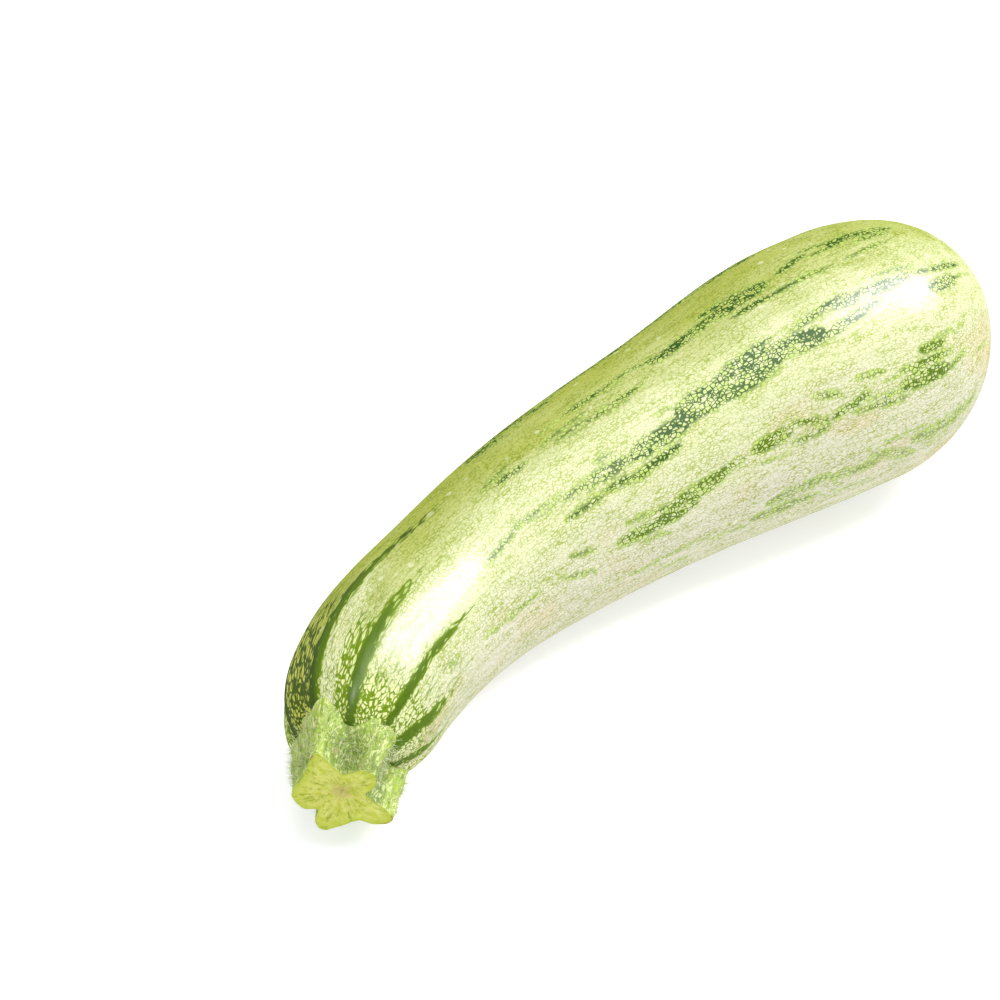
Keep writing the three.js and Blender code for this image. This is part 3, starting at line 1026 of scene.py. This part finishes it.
STEM_GREEN = rgb(152, 178, 58)
STEM_DEEP = rgb(104, 132, 18)
STEM_SHADE = rgb(84, 110, 16)
STEM_BRIGHT = rgb(166, 196, 66)
STEM_NET = rgb(220, 228, 158)
STEM_BRUISE = rgb(196, 160, 128)


def make_stem_material(net):
    material, nodes, shader = new_material("stem_side")
    straight = nodes.attribute("straight", "Vector")
    girth = nodes.attribute("girth")
    tone = nodes.noise(nodes.stretched(straight, *STEM_TONE_SIZE), detail=3)
    streaks = nodes.noise(nodes.stretched(straight, *STEM_STREAK_SIZE), detail=2)
    green = nodes.blend(nodes.ramp(tone, 0.25, 0.55), STEM_DEEP, STEM_GREEN)
    green = nodes.blend(nodes.ramp(streaks, 0.5, 0.62, 0.0, 0.8), green, STEM_BRIGHT)
    # Painted shade in the valleys between the ridges.
    valley_shade = nodes.ramp(girth, *SHADED_VALLEY_GIRTH, 0.6, 0.0)
    green = nodes.blend(valley_shade, green, STEM_SHADE)
    edge, _ = placed_net(nodes, net, straight, *STEM_CELL)
    patches = nodes.noise(nodes.stretched(straight, *STEM_PATCH), detail=2)
    width = nodes.ramp(patches, 0.3, 0.7, -0.05, 0.1)
    net_lines = nodes.ramp(nodes.math("SUBTRACT", edge, width), -0.02, 0.07, 0.75, 0.0)
    # Painted shade: the pale net fades in the valleys.
    net_lines = nodes.math("MULTIPLY", net_lines, nodes.ramp(girth, *SHADED_VALLEY_GIRTH, 0.58, 1.0))
    side = nodes.blend(net_lines, green, STEM_NET)
    dash_edge, dash_cell = placed_net(nodes, net, straight, *STEM_DASH)
    dashes = nodes.ramp(dash_edge, 0.1, 0.2, 0.0, 0.6)
    dashes = nodes.math("MULTIPLY", nodes.ramp(dash_cell, 0.6, 0.66), dashes)
    side = nodes.blend(dashes, side, STEM_NET)
    bruise = nodes.noise(nodes.stretched(straight, *BRUISE_SIZE), detail=1)
    side = nodes.blend(nodes.ramp(bruise, 0.68, 0.76, 0.0, 0.5), side, STEM_BRUISE)
    relief = nodes.math("ADD", net_lines, nodes.math("MULTIPLY", tone, 0.8))
    bump = nodes.add("ShaderNodeBump", {**STEM_BUMP, "Height": relief})
    shade(nodes, shader, Base_Color=side, Roughness=0.6, Normal=bump, Specular_IOR_Level=0.25)
    return material


CUT_FIBRE_SCALE = (8.0, 8.0, 3.0)
CUT_PULP_SIZE = 1.3
CUT_DRY_SIZE = 5
CUT_BUMP = {"Strength": 1.0, "Distance": 0.4 * MM}

CUT_YELLOW = rgb(186, 196, 56)
CUT_GREEN = rgb(104, 124, 16)
CUT_PALE = rgb(210, 213, 108)
CUT_TAN = rgb(210, 190, 110)
CUT_BRIGHT = rgb(170, 190, 8)
CUT_RIM = rgb(214, 222, 130)
CUT_BROWN = rgb(140, 92, 44)


def make_cut_material():
    material, nodes, shader = new_material("stem_cut")
    rays = nodes.attribute("rays", "Vector")
    straight = nodes.attribute("straight", "Vector")
    share = nodes.add("ShaderNodeSeparateXYZ", {"Vector": rays}, output="Z")
    spokes = nodes.add("ShaderNodeVectorMath", {0: rays, 1: CUT_FIBRE_SCALE}, operation="MULTIPLY")
    fibres = nodes.noise(spokes, detail=3, roughness=0.65)
    pulp = nodes.noise(straight, size=CUT_PULP_SIZE, detail=4, roughness=0.65)
    face = nodes.blend(nodes.ramp(pulp, 0.38, 0.62), CUT_YELLOW, CUT_PALE)
    marks = nodes.math("MULTIPLY", nodes.ramp(fibres, 0.52, 0.64), nodes.ramp(share, 0.1, 0.3))
    marks = nodes.math("MULTIPLY", marks, nodes.ramp(pulp, 0.6, 0.4, 0.3, 1.0))
    face = nodes.blend(nodes.math("MULTIPLY", marks, 0.6), face, CUT_GREEN)
    lobes = nodes.ramp(nodes.math("ADD", share, nodes.math("MULTIPLY", pulp, 0.4)), 0.9, 1.1)
    face = nodes.blend(nodes.math("MULTIPLY", lobes, 0.6), face, CUT_BRIGHT)
    heart = nodes.math("ADD", share, nodes.math("MULTIPLY", fibres, 0.5))
    face = nodes.blend(nodes.ramp(heart, 0.35, 0.55, 0.55, 0.0), face, CUT_TAN)
    face = nodes.blend(nodes.ramp(share, 0.955, 0.975, 0.0, 0.7), face, CUT_RIM)
    dry = nodes.noise(straight, size=CUT_DRY_SIZE, detail=2)
    dried = nodes.math("MULTIPLY", nodes.ramp(dry, 0.54, 0.62), nodes.ramp(share, 0.86, 0.96))
    face = nodes.blend(nodes.math("MULTIPLY", dried, 0.85), face, CUT_BROWN)
    height = nodes.math("SUBTRACT", nodes.math("MULTIPLY", pulp, 2.0), fibres)
    bump = nodes.add("ShaderNodeBump", {**CUT_BUMP, "Height": height})
    moist = nodes.ramp(pulp, 0.3, 0.7, 0.35, 0.55)
    shade(nodes, shader, Base_Color=face, Roughness=moist, Normal=bump, Specular_IOR_Level=0.3)
    return material


HAIR_TONE_SIZE = 2 * MM
HAIR_GREEN = rgb(158, 170, 104)
HAIR_PALE = rgb(220, 224, 188)


def make_hair_material():
    material, nodes, shader = new_material("stem_hair")
    place = nodes.add("ShaderNodeTexCoord", output="Object")
    tone = nodes.noise(place, size=HAIR_TONE_SIZE)
    shade(nodes, shader, Base_Color=nodes.blend(tone, HAIR_GREEN, HAIR_PALE), Roughness=0.5)
    return material


CORK_GRAIN_SIZE = 0.5
CORK_BLOTCH_SIZE = 1.6
CORK_BUMP = {"Strength": 0.6, "Distance": 0.2 * MM}
CORK_BROWN = rgb(168, 142, 104)
CORK_PALE = rgb(208, 186, 148)
CORK_DARK = rgb(142, 112, 72)
CORK_RIM = rgb(104, 88, 40)


def make_scar_material():
    material, nodes, shader = new_material("scar_cork")
    spot = nodes.attribute("spot", "Vector")
    rim = nodes.attribute("rim")
    grain = nodes.noise(spot, size=CORK_GRAIN_SIZE, detail=4, roughness=0.65)
    blotch = nodes.noise(spot, size=CORK_BLOTCH_SIZE, detail=2)
    cork = nodes.blend(nodes.ramp(grain, 0.35, 0.65), CORK_BROWN, CORK_PALE)
    cork = nodes.blend(nodes.ramp(blotch, 0.5, 0.7, 0.0, 0.6), cork, CORK_DARK)
    edge = nodes.math("ADD", rim, nodes.offset(grain, 0.35))
    cork = nodes.blend(nodes.ramp(edge, 0.68, 0.86), cork, CORK_RIM)
    bump = nodes.add("ShaderNodeBump", {**CORK_BUMP, "Height": grain})
    shade(nodes, shader, Base_Color=cork, Roughness=0.8, Normal=bump)
    return material


# --- Stage ------------------------------------------------------------------------------

CAMERA_AZIMUTH = math.radians(-47.6)
CAMERA_ELEVATION = math.radians(40)
CAMERA_DISTANCE = 823.8 * MM
CAMERA_LENS = 135
CAMERA_REACH = 20
AIM = Vector((-10.8, 27.0, 19.65)) * MM

FLOOR_HALF_SIZE = 6
FLOOR_GAP = 0.05 * MM
FLOOR_WHITE = (0.7, 0.7, 0.72, 1)
FLOOR_GLOW = (0.95, 0.95, 1, 1)
FLOOR_GLOW_STRENGTH = 0.5
ROOM_WHITE = (1, 1, 1, 1)
ROOM_GLOW = 0.8

# Lamps: azimuth counted from the camera's to its right and elevation, in degrees, then distance,
# width and height in metres, the radiance it glows with, and the kind of light it leaves out.
LAMPS = (
    ("key", 106, 54, 1.0, 0.24, 0.5, 16.5, "visible_glossy"),
    ("top", 20, 82, 1.1, 0.6, 0.6, 3, None),
    ("key_shine", 111, 50, 0.98, 0.4, 0.5, 54, "visible_diffuse"),
    ("side_shine", -38, 58, 1.0, 0.14, 0.14, 60, "visible_diffuse"),
    ("top_shine", 20, 82, 1.0, 0.3, 0.9, 5, "visible_diffuse"),
)


def towards(azimuth, elevation):
    """The way from the part to this azimuth and elevation. Azimuth 0 is at -Y."""
    flat = math.cos(elevation)
    return Vector((math.sin(azimuth) * flat, -math.cos(azimuth) * flat, math.sin(elevation)))


def make_camera():
    back = towards(CAMERA_AZIMUTH, CAMERA_ELEVATION)
    data = bpy.data.cameras.new("camera")
    data.lens = CAMERA_LENS
    data.clip_end = CAMERA_REACH
    camera = bpy.data.objects.new("camera", data)
    camera.location = AIM + back * CAMERA_DISTANCE
    camera.rotation_mode = "QUATERNION"
    camera.rotation_quaternion = (-back).to_track_quat("-Z", "Y")
    bpy.context.scene.collection.objects.link(camera)
    bpy.context.scene.camera = camera


def make_lamp(name, azimuth, elevation, distance, width, height, glow, left_out):
    """A soft rectangular light that faces the part."""
    data = bpy.data.lights.new(name, "AREA")
    data.shape = "RECTANGLE"
    data.size = width
    data.size_y = height
    data.energy = glow * math.pi * width * height
    lamp = bpy.data.objects.new(name, data)
    back = towards(CAMERA_AZIMUTH + math.radians(azimuth), math.radians(elevation))
    lamp.location = back * distance
    lamp.rotation_mode = "QUATERNION"
    lamp.rotation_quaternion = (-back).to_track_quat("-Z", "Y")
    if left_out:
        setattr(lamp, left_out, False)
    bpy.context.scene.collection.objects.link(lamp)


def make_stage():
    bm = bmesh.new()
    bmesh.ops.create_grid(bm, x_segments=1, y_segments=1, size=FLOOR_HALF_SIZE)
    mesh = bpy.data.meshes.new("floor")
    bm.to_mesh(mesh)
    bm.free()
    floor = bpy.data.objects.new("floor", mesh)
    floor.location.z = -FLOOR_GAP
    bpy.context.scene.collection.objects.link(floor)
    material, nodes, shader = new_material("floor_white")
    shade(nodes, shader, Base_Color=FLOOR_WHITE, Roughness=0.9)
    shade(nodes, shader, Emission_Color=FLOOR_GLOW, Emission_Strength=FLOOR_GLOW_STRENGTH)
    mesh.materials.append(material)
    world = bpy.data.worlds.new("studio")
    bpy.context.scene.world = world
    world.use_nodes = True
    background = world.node_tree.nodes["Background"].inputs
    background["Color"].default_value = ROOM_WHITE
    background["Strength"].default_value = ROOM_GLOW
    for lamp in LAMPS:
        make_lamp(*lamp)
    bpy.context.scene.view_settings.view_transform = "Standard"


# --- The scene --------------------------------------------------------------------------

make_camera()
make_stage()
cell_net = make_cell_net()
skin_shift = make_skin(make_skin_material(cell_net))
make_stem(skin_shift, make_stem_material(cell_net), make_cut_material())
make_hairs(skin_shift, make_hair_material())
make_scar(skin_shift, make_scar_material())
